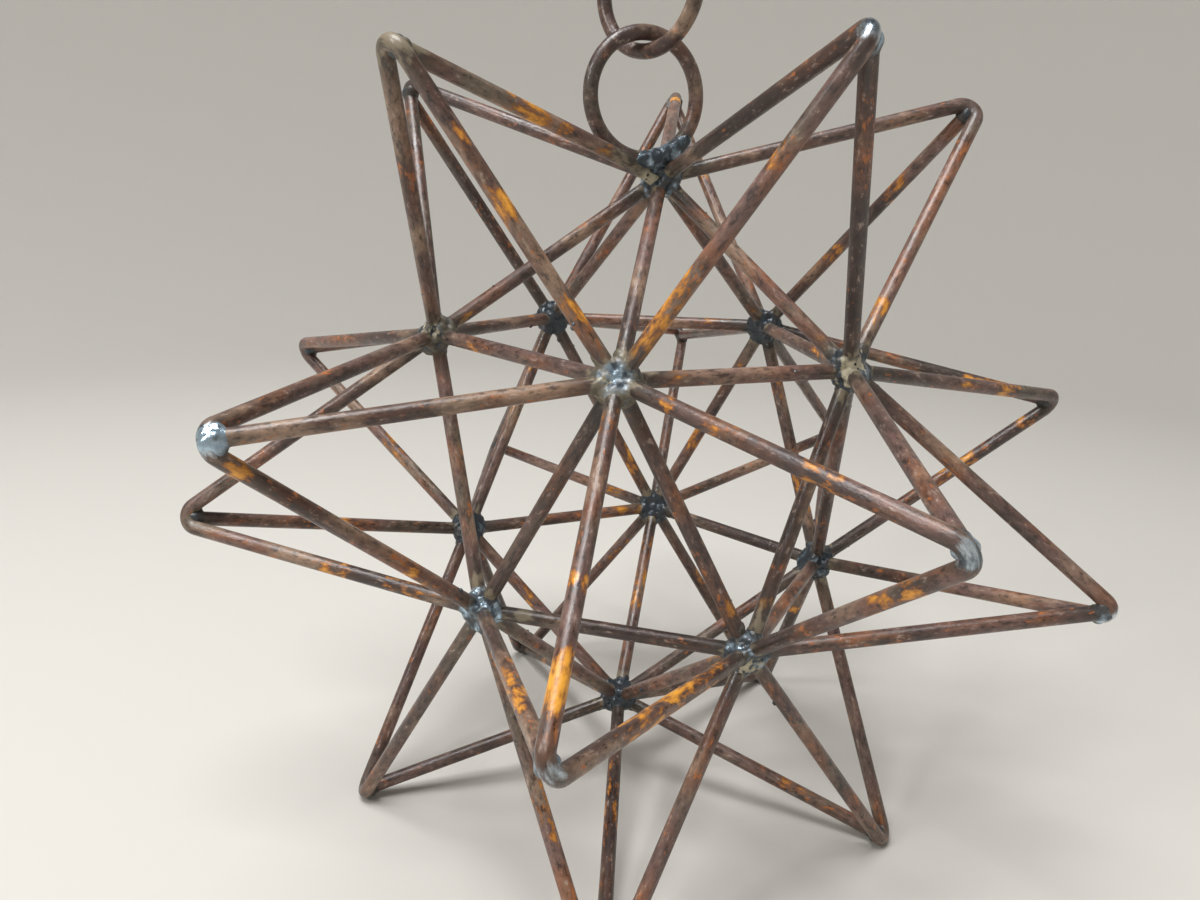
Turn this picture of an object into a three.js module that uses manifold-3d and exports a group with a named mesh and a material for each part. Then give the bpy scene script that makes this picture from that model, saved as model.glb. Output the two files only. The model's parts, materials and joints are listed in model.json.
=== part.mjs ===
// Hanging star of welded round bar, standing on its five lowest tips. Millimetres, +Z up, front at -Y.
//
// Twelve hubs carry a core of straight rods: two five-sided hoops, a fan of spokes above and below
// them, and a zigzag of struts between them. Each of the twenty faces of the core carries a spike of
// three legs: a bow, which is one rod bent at the tip, and a straight leg butted into the bend.
// A ring is welded upright on the top hub, and a loose ring is linked through it.

import * as THREE from "three";
import { mergeVertices } from "three/addons/utils/BufferGeometryUtils.js";
import Module from "manifold-3d";

const wasm = await Module();
wasm.setup();

// Bar
const barDiameter = 6;
const barSides = 10;
const seamGap = 0.3; // between two pieces that a weld joins
const hubRoundness = 2; // of a hub weld's facets
const beadRoundness = 1; // of the smaller welds' facets

// Core, measured between hub centres
const hoopRod = 104; // hub to hub along a hoop
const waistHeight = 103; // from the lower hoop up to the upper one
const capHeight = 70; // from a hoop to the top or bottom hub
const hubThroat = 1.5; // weld over the bars where they crowd together at a hub

// Spikes
const spikeRise = 122; // from a face of the core to the point where the three legs aim
const bendRadius = 5.5; // of the bow's centre line, at the tip
const bendSteps = 6;
const tipThroat = 1.4; // weld over the leg where it meets the bow
const tipWeldLength = 6; // along the leg

// Rings
const ringBore = 41;
const ringSides = 11; // an odd count lays a flat along the inside of the ring
const ringSteps = 30;
const ringSlack = 0.9; // between the two rings where they are linked
const eyeTurn = 35; // degrees from +X to the plane of the welded ring
const eyeLean = 22; // degrees from upright, from its seat to the middle of the welded ring
const eyeForward = 5.5; // from the top hub out to the plane of the welded ring
const linkTurn = -32; // degrees from +X to the plane of the loose ring
const eyeThroat = 2; // weld over the ring's bar
const eyeWeldArc = 56; // degrees of the ring that the weld covers
const eyeWeldBeads = 5;

// How far a hub was welded off its true corner: [x, y, z], one row for each sector from the front
const topDrift = [5, 0, 0];
const bottomDrift = [-3, 0, 0];
const upperDrift = [[4, 0, 0], [2, -7, 0], [0, 0, 2], [-5, 0, 0], [0, 0, 3]];
const lowerDrift = [[4, 0, -2], [2, 7, -3], [0, -4, 0], [-3, -4, 0], [2, 0, 3]];

// How far a spike was bent and welded off the point over its face, in the same way
const crownTipDrift = [[4, 0, -1], [4, 0, -2], [0, 0, 4], [-8, 0, -8], [-2, 0, -2]];
const upperTipDrift = [[-1, 0, 2], [2, 0, -6], [3, 0, 2], [0, 0, 0], [0, 0, 4]];
const lowerTipDrift = [[1, 0, -2], [0, 0, 4], [-7, 0, 7], [3, 0, -7], [0, 0, 3]];
const footTipDrift = [[3, 5, 0], [0, 0, 0], [0, 0, 0], [8, -3, 0], [16, -2, 0]];

// Which hub of its face holds the straight leg of a spike: a pole's, its own sector's or a neighbour's
const crownLegHub = ["next", "next", "own", "next", "pole"];
const upperLegHub = ["next", "next", "own", "own", "next"];
const lowerLegHub = "last";
const footLegHub = "pole";

// Sizes that follow
const sectors = 5;
const sectorTurn = (2 * Math.PI) / sectors;
const frontTurn = -Math.PI / 2;
const barRadius = barDiameter / 2;
const hubRadius = barDiameter + hubThroat;
const hubReach = hubRadius + seamGap;
const hoopRadius = hoopRod / (2 * Math.sin(sectorTurn / 2));
const ringRadius = (ringBore + barDiameter) / 2;
const upright = new THREE.Vector3(0, 0, 1);

const rustyBar = new THREE.MeshStandardMaterial({ color: 0x5e4842, roughness: 0.62, metalness: 0.35 });
const weldedBar = new THREE.MeshStandardMaterial({ color: 0x554a49, roughness: 0.5, metalness: 0.5 });

// Closed geometry as a solid for joining and cutting, and back again
function solidOf(geometry) {
  const bare = geometry.clone();
  bare.deleteAttribute("normal");
  bare.deleteAttribute("uv");
  const merged = mergeVertices(bare);
  const mesh = new wasm.Mesh({
    numProp: 3,
    vertProperties: merged.attributes.position.array,
    triVerts: new Uint32Array(merged.index.array),
  });
  return new wasm.Manifold(mesh);
}

function geometryOf(solid) {
  const mesh = solid.getMesh();
  const geometry = new THREE.BufferGeometry();
  geometry.setAttribute("position", new THREE.BufferAttribute(mesh.vertProperties, mesh.numProp));
  geometry.setIndex(new THREE.BufferAttribute(mesh.triVerts, 1));
  geometry.computeVertexNormals();
  return geometry;
}

function meshOf(name, solid, material) {
  const mesh = new THREE.Mesh(geometryOf(solid), material);
  mesh.name = name;
  return mesh;
}

// A straight piece of bar between two points, shortened at either end
function straightBar(from, to, cutFrom, cutTo) {
  const along = to.clone().sub(from);
  const length = along.length() - cutFrom - cutTo;
  along.normalize();
  const bar = new THREE.Mesh(new THREE.CylinderGeometry(barRadius, barRadius, length, barSides), rustyBar);
  bar.quaternion.setFromUnitVectors(new THREE.Vector3(0, 1, 0), along);
  bar.position.copy(from).addScaledVector(along, cutFrom + length / 2);
  return bar;
}

function straightBarSolid(from, to, cutFrom, cutTo) {
  const bar = straightBar(from, to, cutFrom, cutTo);
  bar.updateMatrix();
  return solidOf(bar.geometry.applyMatrix4(bar.matrix));
}

// A leg of a spike, from its hub weld to the bend, with the flare of weld at its far end
function flaredBarSolid(hub, tip, radius) {
  const length = hub.distanceTo(tip) - hubReach;
  const along = tip.clone().sub(hub).normalize();
  const profile = [
    new THREE.Vector2(0, 0),
    new THREE.Vector2(radius, 0),
    new THREE.Vector2(radius, length - tipWeldLength),
    new THREE.Vector2(radius + tipThroat, length),
    new THREE.Vector2(0, length),
  ];
  const start = hub.clone().addScaledVector(along, hubReach);
  const turn = new THREE.Quaternion().setFromUnitVectors(new THREE.Vector3(0, 1, 0), along);
  const bar = new THREE.LatheGeometry(profile, barSides).applyQuaternion(turn);
  return solidOf(bar.translate(start.x, start.y, start.z));
}

function weldLump(centre, radius, roundness) {
  return solidOf(new THREE.IcosahedronGeometry(radius, roundness).translate(centre.x, centre.y, centre.z));
}

function joined(solids) {
  return solids.reduce((whole, next) => whole.add(next));
}

// Straight, round a bend and straight again. Its steps fall on the bend, not at even lengths.
class BowPath extends THREE.Curve {
  constructor(from, aim, to) {
    super();
    this.inward = aim.clone().sub(from).normalize();
    this.outward = to.clone().sub(aim).normalize();
    const halfAngle = (Math.PI - this.inward.angleTo(this.outward)) / 2;
    this.middle = this.outward.clone().sub(this.inward).normalize();
    this.sweep = Math.PI - 2 * halfAngle;
    this.centre = aim.clone().addScaledVector(this.middle, bendRadius / Math.sin(halfAngle));
    this.across = this.inward.clone().cross(this.outward).normalize();
    this.tip = this.centre.clone().addScaledVector(this.middle, -bendRadius);
    this.start = from.clone().addScaledVector(this.inward, hubReach);
    this.end = to.clone().addScaledVector(this.outward, -hubReach);
    this.steps = bendSteps + 2;
  }

  // 0 where the bend starts and 1 where it ends
  bendShare(t) {
    return THREE.MathUtils.clamp((t * this.steps - 1) / bendSteps, 0, 1);
  }

  onBend(share) {
    const turn = (share - 0.5) * this.sweep;
    const spoke = this.middle.clone().multiplyScalar(-bendRadius).applyAxisAngle(this.across, turn);
    return spoke.add(this.centre);
  }

  getPoint(t) {
    const step = t * this.steps;
    if (step < 1) return this.start.clone().lerp(this.onBend(0), step);
    if (step > bendSteps + 1) return this.onBend(1).lerp(this.end, step - bendSteps - 1);
    return this.onBend(this.bendShare(t));
  }

  getTangent(t) {
    return this.inward.clone().applyAxisAngle(this.across, this.bendShare(t) * this.sweep);
  }

  getTangentAt(t) {
    return this.getTangent(t);
  }

  getSpacedPoints(count) {
    return this.getPoints(count);
  }
}

function bowSolid(path, radius) {
  const section = Array.from({ length: barSides }, (_, side) => {
    const turn = (side / barSides) * 2 * Math.PI;
    return new THREE.Vector2(radius * Math.cos(turn), radius * Math.sin(turn));
  });
  const settings = { steps: path.steps, extrudePath: path, bevelEnabled: false };
  return solidOf(new THREE.ExtrudeGeometry(new THREE.Shape(section), settings));
}

// Hubs
function hubRow(height, rowTurn, drift) {
  return drift.map((offset, sector) => {
    const turn = frontTurn + rowTurn + sector * sectorTurn;
    const hub = new THREE.Vector3(hoopRadius * Math.cos(turn), hoopRadius * Math.sin(turn), height);
    return hub.add(new THREE.Vector3(...offset));
  });
}

const upperHubs = hubRow(waistHeight / 2, 0, upperDrift);
const lowerHubs = hubRow(-waistHeight / 2, sectorTurn / 2, lowerDrift);
const poleHeight = waistHeight / 2 + capHeight;
const topHub = new THREE.Vector3(0, 0, poleHeight).add(new THREE.Vector3(...topDrift));
const bottomHub = new THREE.Vector3(0, 0, -poleHeight).add(new THREE.Vector3(...bottomDrift));
const following = (row, sector) => row[(sector + 1) % sectors];
const preceding = (row, sector) => row[(sector + sectors - 1) % sectors];

const star = new THREE.Group();

function addBar(name, from, to) {
  const bar = straightBar(from, to, hubReach, hubReach);
  bar.name = name;
  star.add(bar);
}

// A hoop is welded up first: five rods and the hub welds at its corners
function addHoop(name, hubs) {
  const rods = hubs.map((hub, sector) => straightBarSolid(hub, following(hubs, sector), 0, 0));
  const welds = hubs.map((hub) => weldLump(hub, hubRadius, hubRoundness));
  star.add(meshOf(name, joined([...rods, ...welds]), weldedBar));
}

addHoop("upper_hoop", upperHubs);
addHoop("lower_hoop", lowerHubs);

// The top hub with its five spokes
const topSpokes = upperHubs.map((hub) => straightBarSolid(topHub, hub, 0, hubReach));
const topWeld = weldLump(topHub, hubRadius, hubRoundness);
star.add(meshOf("top_spider", joined([topWeld, ...topSpokes]), weldedBar));

// The bottom hub is on its first spoke, and the other four are rods of their own
lowerHubs.forEach((hub, sector) => {
  const name = `bottom_spoke_${sector + 1}`;
  if (sector === 0) {
    const spoke = straightBarSolid(bottomHub, hub, 0, hubReach);
    star.add(meshOf(name, spoke.add(weldLump(bottomHub, hubRadius, hubRoundness)), weldedBar));
  } else {
    addBar(name, bottomHub, hub);
  }
});

upperHubs.forEach((hub, sector) => {
  addBar(`waist_strut_${2 * sector + 1}`, hub, lowerHubs[sector]);
  addBar(`waist_strut_${2 * sector + 2}`, lowerHubs[sector], following(upperHubs, sector));
});

// The point where a spike's three legs aim: as far from each hub of its face, but for the drift
function aimOver(face, drift) {
  const [first, second, third] = Object.values(face);
  const normal = new THREE.Triangle(first, second, third).getNormal(new THREE.Vector3());
  if (normal.dot(first) < 0) normal.negate();
  const [a, b] = [second.clone().sub(first), third.clone().sub(first)];
  const cross = a.clone().cross(b);
  const toCentre = cross.clone().cross(a).multiplyScalar(b.lengthSq());
  toCentre.add(b.clone().cross(cross).multiplyScalar(a.lengthSq()));
  toCentre.divideScalar(2 * cross.lengthSq());
  const aim = first.clone().add(toCentre).addScaledVector(normal, spikeRise);
  return aim.add(new THREE.Vector3(...drift));
}

function bowPathOn(face, legHub, aim) {
  const [from, to] = Object.keys(face).filter((hub) => hub !== legHub);
  return new BowPath(face[from], aim, face[to]);
}

// Adds a bow and a leg that runs into its bend and is coped to it, and returns the room that they take
function addSpike(name, face, legHub, aim) {
  const path = bowPathOn(face, legHub, aim);
  const bowRoom = bowSolid(path, barRadius + seamGap);
  const legRoom = flaredBarSolid(face[legHub], path.tip, barRadius + seamGap);
  const leg = flaredBarSolid(face[legHub], path.tip, barRadius).subtract(bowRoom);
  star.add(meshOf(`${name}_bow`, bowSolid(path, barRadius), rustyBar));
  star.add(meshOf(`${name}_leg`, leg, rustyBar));
  return bowRoom.add(legRoom);
}

const crownRooms = upperHubs.map((own, sector) => {
  const face = { pole: topHub, own, next: following(upperHubs, sector) };
  const aim = aimOver(face, crownTipDrift[sector]);
  return addSpike(`crown_spike_${sector + 1}`, face, crownLegHub[sector], aim);
});

upperHubs.forEach((own, sector) => {
  const face = { below: lowerHubs[sector], own, next: following(upperHubs, sector) };
  const aim = aimOver(face, upperTipDrift[sector]);
  addSpike(`upper_spike_${sector + 1}`, face, upperLegHub[sector], aim);
});

lowerHubs.forEach((own, sector) => {
  const face = { above: upperHubs[sector], last: preceding(lowerHubs, sector), own };
  const aim = aimOver(face, lowerTipDrift[sector]);
  addSpike(`lower_spike_${sector + 1}`, face, lowerLegHub, aim);
});

// The five feet are trued to one level, so that the star stands
const footFaces = lowerHubs.map((own, sector) => {
  return { pole: bottomHub, own, next: following(lowerHubs, sector) };
});
const footAims = footFaces.map((face, sector) => aimOver(face, footTipDrift[sector]));
const footHeights = footFaces.map((face, sector) => bowPathOn(face, footLegHub, footAims[sector]).tip.z);
const footLevel = footHeights.reduce((sum, height) => sum + height, 0) / sectors;
footFaces.forEach((face, sector) => {
  const aim = footAims[sector].setZ(footAims[sector].z + footLevel - footHeights[sector]);
  addSpike(`foot_spike_${sector + 1}`, face, footLegHub, aim);
});

// A ring that stands on edge, with its plane turned about the vertical
function standingRing(turn, centre) {
  const ring = new THREE.TorusGeometry(ringRadius, barRadius, ringSides, ringSteps);
  ring.rotateX(Math.PI / 2);
  ring.rotateZ(THREE.MathUtils.degToRad(turn));
  return ring.translate(centre.x, centre.y, centre.z);
}

// The welded ring sits on the front of the top hub, leaning along its own plane
const eyeAlong = new THREE.Vector3(1, 0, 0).applyAxisAngle(upright, THREE.MathUtils.degToRad(eyeTurn));
const eyeAcross = new THREE.Vector3().crossVectors(eyeAlong, upright);
const eyeSeat = upright.clone().applyAxisAngle(eyeAcross, THREE.MathUtils.degToRad(eyeLean));
const eyeRise = Math.sqrt((hubReach + barRadius) ** 2 - eyeForward ** 2) + ringRadius;
const eyeCentre = topHub.clone().addScaledVector(eyeAcross, eyeForward).addScaledVector(eyeSeat, eyeRise);
const eyeBeads = Array.from({ length: eyeWeldBeads }, (_, bead) => {
  const turn = THREE.MathUtils.degToRad(eyeWeldArc * (bead / (eyeWeldBeads - 1) - 0.5));
  const toBar = eyeSeat.clone().applyAxisAngle(eyeAcross, turn).multiplyScalar(-ringRadius);
  return weldLump(toBar.add(eyeCentre), barRadius + eyeThroat, beadRoundness);
});
const eyeRing = joined([solidOf(standingRing(eyeTurn, eyeCentre)), ...eyeBeads]);
const hubRoom = weldLump(topHub, hubReach, hubRoundness);
star.add(meshOf("hanging_ring", eyeRing.subtract(joined([hubRoom, ...crownRooms])), weldedBar));

// The loose ring hangs in the welded one, straight above its middle
const linkRise = ringRadius - barDiameter - ringSlack + ringRadius;
const linkCentre = eyeCentre.clone().addScaledVector(upright, linkRise);
const looseRing = new THREE.Mesh(standingRing(linkTurn, linkCentre), rustyBar);
looseRing.name = "loose_ring";
star.add(looseRing);

// The origin is under the middle of the star, on the surface it stands on
const part = new THREE.Group();
part.add(star);
const extent = new THREE.Box3().setFromObject(part, true);
const middle = extent.getCenter(new THREE.Vector3());
star.position.set(-middle.x, -middle.y, -extent.min.z);

export default part;
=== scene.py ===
import json
import math
import random

import bmesh
import bpy
from mathutils import Euler, Matrix, Vector, noise


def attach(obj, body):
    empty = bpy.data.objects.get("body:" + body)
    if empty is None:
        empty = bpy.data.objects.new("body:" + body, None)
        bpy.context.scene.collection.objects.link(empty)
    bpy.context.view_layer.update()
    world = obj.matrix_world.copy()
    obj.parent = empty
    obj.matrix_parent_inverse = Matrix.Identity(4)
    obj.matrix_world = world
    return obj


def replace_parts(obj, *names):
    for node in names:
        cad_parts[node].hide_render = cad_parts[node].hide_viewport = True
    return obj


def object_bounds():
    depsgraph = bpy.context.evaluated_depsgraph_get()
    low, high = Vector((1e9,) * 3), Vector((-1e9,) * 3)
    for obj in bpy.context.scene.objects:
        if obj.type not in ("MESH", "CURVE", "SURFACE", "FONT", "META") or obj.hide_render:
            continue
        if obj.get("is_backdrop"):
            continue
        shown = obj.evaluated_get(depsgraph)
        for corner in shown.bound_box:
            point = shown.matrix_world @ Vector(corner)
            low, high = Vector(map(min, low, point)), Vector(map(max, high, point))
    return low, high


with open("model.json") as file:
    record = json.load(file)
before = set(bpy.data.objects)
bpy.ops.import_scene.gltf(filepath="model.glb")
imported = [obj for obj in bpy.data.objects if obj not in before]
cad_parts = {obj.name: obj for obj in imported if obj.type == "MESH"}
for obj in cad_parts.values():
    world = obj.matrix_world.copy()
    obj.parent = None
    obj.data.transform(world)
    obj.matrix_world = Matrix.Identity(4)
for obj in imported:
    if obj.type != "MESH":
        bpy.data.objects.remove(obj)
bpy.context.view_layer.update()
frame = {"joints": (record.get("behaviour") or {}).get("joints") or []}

MM = 0.001
UP = Vector((0, 0, 1))

# The star's sizes and places, as its solids have them
SECTORS = 5
BAR_RADIUS = 3 * MM
HOOP_ROD = 104 * MM
WAIST_HEIGHT = 103 * MM
CAP_HEIGHT = 70 * MM
SPIKE_RISE = 122 * MM
BEND_RADIUS = 5.5 * MM
HUB_REACH = 7.8 * MM
RING_RADIUS = 23.5 * MM
EYE_TURN = math.radians(35)
EYE_LEAN = math.radians(22)
EYE_FORWARD = 5.5 * MM
EYE_WELD_ARC = math.radians(56)
LINK_TURN = math.radians(-32)
LINK_SLACK = 0.9 * MM

# How far each hub and each tip was welded off its true place, in millimetres, sector by sector
TOP_DRIFT = (5, 0, 0)
BOTTOM_DRIFT = (-3, 0, 0)
UPPER_DRIFT = ((4, 0, 0), (2, -7, 0), (0, 0, 2), (-5, 0, 0), (0, 0, 3))
LOWER_DRIFT = ((4, 0, -2), (2, 7, -3), (0, -4, 0), (-3, -4, 0), (2, 0, 3))
CROWN_TIP_DRIFT = ((4, 0, -1), (4, 0, -2), (0, 0, 4), (-8, 0, -8), (-2, 0, -2))
UPPER_TIP_DRIFT = ((-1, 0, 2), (2, 0, -6), (3, 0, 2), (0, 0, 0), (0, 0, 4))
LOWER_TIP_DRIFT = ((1, 0, -2), (0, 0, 4), (-7, 0, 7), (3, 0, -7), (0, 0, 3))
FOOT_TIP_DRIFT = ((3, 5, 0), (0, 0, 0), (0, 0, 0), (8, -3, 0), (16, -2, 0))

# Which hub of its face holds the straight leg of a spike
CROWN_LEG_HUB = ("next", "next", "own", "next", "pole")
UPPER_LEG_HUB = ("next", "next", "own", "own", "next")
LOWER_LEG_HUB = "last"
FOOT_LEG_HUB = "pole"

# How finely the bars are drawn
BAR_SIDES = 24
BAR_STEP = 3 * MM
BEND_STEPS = 14
RING_STEPS = 120
ROOT = 5 * MM  # how far from a hub's middle a bar starts, inside the weld

# What a bar's points hold, from which its finish is worked out
GRAIN_SQUEEZE = 0.45  # the grain counts lengths along a bar this much shorter, so its patterns draw out
GRAIN_APART = 210 * MM  # from one bar's grain to the next
RING_GRAIN = 0.6  # a ring's grain counts all lengths this much shorter
BAR_LAYERS = ("weld_gap", "bloom", "bright", "tone_and_shade")  # what each point of a bar holds beside its grain
PLAIN_TIP_SPARE = 12 * MM  # a tip's weld is smaller than a hub's, so its soot ends this much sooner
TIP_SPARE = {"crown_spike_5": 2 * MM}  # but for one tip, which is ashen
# Where a tip's weld left its bend bright: bare metal, partly a painted highlight
BRIGHT_REACH = 10 * MM  # how far from its weld a bend is still bright
BRIGHT_BEND = 0.7  # a weld that shines more than this left its bend bright

# All welds: lumps of round blobs that have run together
WELD_VOXEL = 0.45 * MM
WELD_RIPPLES = ((3.5 * MM, 0.4 * MM), (1.7 * MM, 0.2 * MM))  # how far apart and how high
WELD_LAYERS = ("shine", "slag", "ash", "toe")  # what each point of a weld holds
TOE_LENGTH = 5 * MM

# A hub's weld. Pairs are the least and the most of what chance picks
HUB_HEART = 8.2 * MM  # how far out it is bare metal
HUB_ASH_CREEP = 2.7 * MM  # how much less that is on an ashen one
HUB_CORE = 5.8 * MM
CAP_BLOBS = 4
CAP_RISE = (2 * MM, 3.4 * MM)
CAP_ASIDE = (1.5 * MM, 3.6 * MM)
CAP_RADII = (3.2 * MM, 4.2 * MM)
COLLARS = ((5.5 * MM, 0, 3.9 * MM), (7.6 * MM, 0.3 * MM, 3.4 * MM))  # along the bar, aside, and radius
RUN_CHANCE = 0.4  # how often a weld has run out along a bar
RUN_REACH = (9 * MM, 12 * MM)
RUN_ASIDE = 0.7 * MM
RUN_RADIUS = 2.9 * MM
CROTCH_ANGLE = math.radians(75)  # bars that lie closer have a fillet between them
FILLET_REACH = (6.2 * MM, 7.6 * MM)
FILLET_RADII = (1.9 * MM, 2.6 * MM)

# A tip's weld
TIP_HEART = 2.3 * MM
TIP_HEART_DOWN = 1 * MM  # down the leg from the tip
TIP_LEG_BLOBS = ((2.2 * MM, 3.7 * MM), (4.6 * MM, 3.4 * MM))  # down the leg, and radius
TIP_CROTCH_REACH = 4.4 * MM
TIP_SIDE_DOWN = 2.5 * MM
TIP_SIDE_OUT = 1.4 * MM
TIP_SIDE_RADII = (2.4 * MM, 2.9 * MM)
THICK_WELD = 1.3  # one that shines more than this is a thick lump
THICK_HEART = 3.2 * MM
THICK_TURNS = (-0.1, 0.1)  # where a thick lump has more blobs, as shares of the bend
THICK_DOWN = 0.4 * MM
THICK_RADII = (3.4 * MM, 3.7 * MM)

# The weld of the hanging ring
RING_HEART = 13 * MM
RING_BEADS = 13
RING_BEAD_OUT = 0.6 * MM
RING_BEAD_ASIDE = 0.5 * MM
RING_BEAD_RADIUS = 4.3 * MM
RING_BEAD_TAPER = 1.2 * MM  # how much less the radius is at both ends
RING_WEB_SHARE = 0.75  # of the beads, those in the middle have a web below
RING_WEB = ((0.35, 3.8 * MM), (0.6, 4.2 * MM))  # share of the way to the hub, and radius

# The crust of slag at the top hub
CRUST_HEART = 12 * MM
CRUST_BLOBS = 8
CRUST_START = 2.5 * MM
CRUST_STEP = 2 * MM
CRUST_SAG = 3.6 * MM
CRUST_SAG_LOSS = 0.17  # how much less it sags for each length along the bar
CRUST_RADII = (2.5 * MM, 3.4 * MM)

# Drops of spatter near each hub
SPATTER_RADII = (0.35 * MM, 0.5 * MM, 0.6 * MM, 1.0 * MM)
SPATTER_REACH = (14 * MM, 34 * MM)  # from the hub's middle
SPATTER_HEIGHT = 0.8  # of a drop's own width

# Where bright rust has bloomed: share of the bar from its first hub, half length in mm, strength
BLOOMS = {
    "crown_spike_1_bow": ((0.90, 36, 0.95), (0.66, 12, 0.8)),
    "crown_spike_2_bow": ((0.895, 14, 0.85),),
    "crown_spike_3_bow": ((0.432, 6, 1.1),),
    "crown_spike_5_bow": ((0.638, 9, 0.8), (0.735, 16, 0.9), (0.89, 16, 0.85)),
    "crown_spike_5_leg": ((0.57, 18, 1.0), (0.43, 10, 0.8), (0.26, 22, 0.7)),
    "upper_spike_1_bow": ((0.365, 30, 0.85), (0.68, 18, 0.85), (0.82, 12, 0.75), (0.91, 8, 0.85)),
    "upper_spike_2_bow": ((0.29, 22, 0.9), (0.43, 9, 0.95), (0.64, 15, 0.95), (0.75, 14, 0.75)),
    "upper_spike_4_bow": ((0.216, 22, 0.85),),
    "upper_spike_5_bow": ((0.455, 9, 1.1), (0.17, 26, 0.85)),
    "lower_spike_1_bow": ((0.415, 17, 1.15), (0.296, 9, 0.85), (0.77, 75, 0.9), (0.07, 14, 0.75)),
    "lower_spike_1_leg": ((0.64, 36, 0.92),),
    "lower_spike_5_bow": ((0.745, 6, 0.95), (0.777, 6, 0.95), (0.88, 24, 0.8)),
    "foot_spike_5_bow": ((0.30, 44, 0.72),),
    "foot_spike_5_leg": ((0.45, 50, 0.65),),
    "bottom_spoke_1": ((0.80, 18, 0.75),),
    "bottom_spoke_4": ((0.57, 26, 0.75),),
    "waist_strut_1": ((0.80, 20, 0.82),),
    "waist_strut_2": ((0.165, 8, 0.95),),
    "waist_strut_3": ((0.76, 16, 0.8),),
    "upper_hoop": ((0.25, 16, 0.75),),
    "top_spider": ((0.88, 14, 0.72),),
}

# Blooms by chance on the star's far side: the most on a bar, and the spans of the same three values
FAR_BLOOMS = 2
FAR_BLOOM_SPANS = ((0.1, 0.9), (8, 26), (0.72, 0.92))

# Bars that are paler (above zero) or blacker (below) than the rest. On crown_spike_1_leg and
# upper_spike_1_bow the blacker tone is painted shade, darkening bars that lie in shadow
BAR_TONES_AND_SHADE = {
    "crown_spike_1_bow": -0.05,
    # Painted shade: this bar is darkened as if it lay in shadow
    "crown_spike_1_leg": -0.18,
    "crown_spike_2_leg": -0.08,
    "crown_spike_4_bow": -0.12,
    "crown_spike_4_leg": -0.12,
    "crown_spike_5_bow": 0.07,
    "crown_spike_5_leg": 0.07,
    # Painted shade: this bow is darkened as if its underside lay in shadow, against the pale floor's
    # light from below
    "upper_spike_1_bow": -0.06,
    "upper_spike_2_bow": -0.09,
    "upper_spike_2_leg": -0.09,
    "upper_spike_5_leg": 0.11,
    "lower_spike_1_leg": 0.05,
    "lower_spike_2_leg": -0.04,
    "lower_spike_5_leg": -0.1,
    "lower_hoop": -0.04,
    "waist_strut_1": -0.07,
    "waist_strut_2": 0.06,
    "waist_strut_3": -0.08,
    "waist_strut_10": -0.05,
    "bottom_spoke_2": -0.1,
    "bottom_spoke_3": -0.07,
    "foot_spike_4_leg": -0.1,
    "foot_spike_5_leg": -0.05,
}

# Where a hub's soot and ash reach further along a bar than elsewhere, in millimetres
LONG_ASH = {
    ("crown_spike_5_leg", "top"): 20,
    ("waist_strut_2", "lower_1"): 9,
    ("lower_hoop", "lower_5"): 9,
}

# How bright a weld is, how much slag it has, and how ashen the collars round it are: shine, slag, ash
PLAIN_WELD = (0.4, 0.2, 0.1)
HUB_FINISH = {
    "top": (0.7, 0.0, 0.1),
    "bottom": (0.35, 0.0, 0.0),
    "upper_1": (0.8, 0.7, 0.9),
    "upper_2": (0.5, 1.0, 0.3),
    "upper_5": (0.4, 0.7, 0.6),
    "lower_1": (0.65, 0.7, 0.3),
    "lower_2": (0.5, 0.1, 0.2),
    "lower_5": (0.8, 0.05, 0.2),
}
TIP_FINISH = {
    "crown_spike_1": (1.15, 0.1, 0.0),
    "crown_spike_3": (0.9, 0.1, 0.0),
    "crown_spike_5": (0.6, 0.6, 0.6),
    "upper_spike_1": (1.15, 0.1, 0.0),
    "upper_spike_5": (1.4, 0.0, 0.0),
    "lower_spike_1": (0.9, 0.3, 0.0),
    "lower_spike_2": (0.95, 0.1, 0.0),
}
RING_FINISH = (0.72, 0.0, 0.0)
ROOT_SLAG_FINISH = (0.2, 1.15, 0.8)
SPATTER_FINISH = (0.65, 0.0, 0.0)

# The side of a weld that its slag was left on, where it is not just the top
SLAG_SIDE = {
    "upper_1": (-0.5, -0.8, -0.4),
    "upper_2": (0.1, -1.0, 0.2),
    "upper_5": (-0.3, -0.9, 0.3),
    "lower_1": (0.5, -0.6, -0.6),
}


# Hubs, faces and tips
hinge = Vector(frame["joints"][0]["pos_m"])
eye_along = Vector((math.cos(EYE_TURN), math.sin(EYE_TURN), 0))
eye_across = eye_along.cross(UP)
eye_seat = UP * math.cos(EYE_LEAN) - eye_along * math.sin(EYE_LEAN)
eye_rise = math.sqrt((HUB_REACH + BAR_RADIUS) ** 2 - EYE_FORWARD**2) + RING_RADIUS
eye_middle = hinge - UP * RING_RADIUS
top_hub = eye_middle - eye_across * EYE_FORWARD - eye_seat * eye_rise
pole_height = WAIST_HEIGHT / 2 + CAP_HEIGHT
star_middle = top_hub - Vector(TOP_DRIFT) * MM - UP * pole_height


def hub_row(name, height, row_turn, drift):
    radius = HOOP_ROD / (2 * math.sin(math.pi / SECTORS))
    row = {}
    for sector in range(SECTORS):
        turn = row_turn + (sector / SECTORS) * math.tau - math.pi / 2
        place = Vector((radius * math.cos(turn), radius * math.sin(turn), height))
        row[f"{name}_{sector + 1}"] = star_middle + place + Vector(drift[sector]) * MM
    return row


hubs = {"top": top_hub, "bottom": star_middle - UP * pole_height + Vector(BOTTOM_DRIFT) * MM}
hubs.update(hub_row("upper", WAIST_HEIGHT / 2, 0, UPPER_DRIFT))
hubs.update(hub_row("lower", -WAIST_HEIGHT / 2, math.pi / SECTORS, LOWER_DRIFT))


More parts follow.
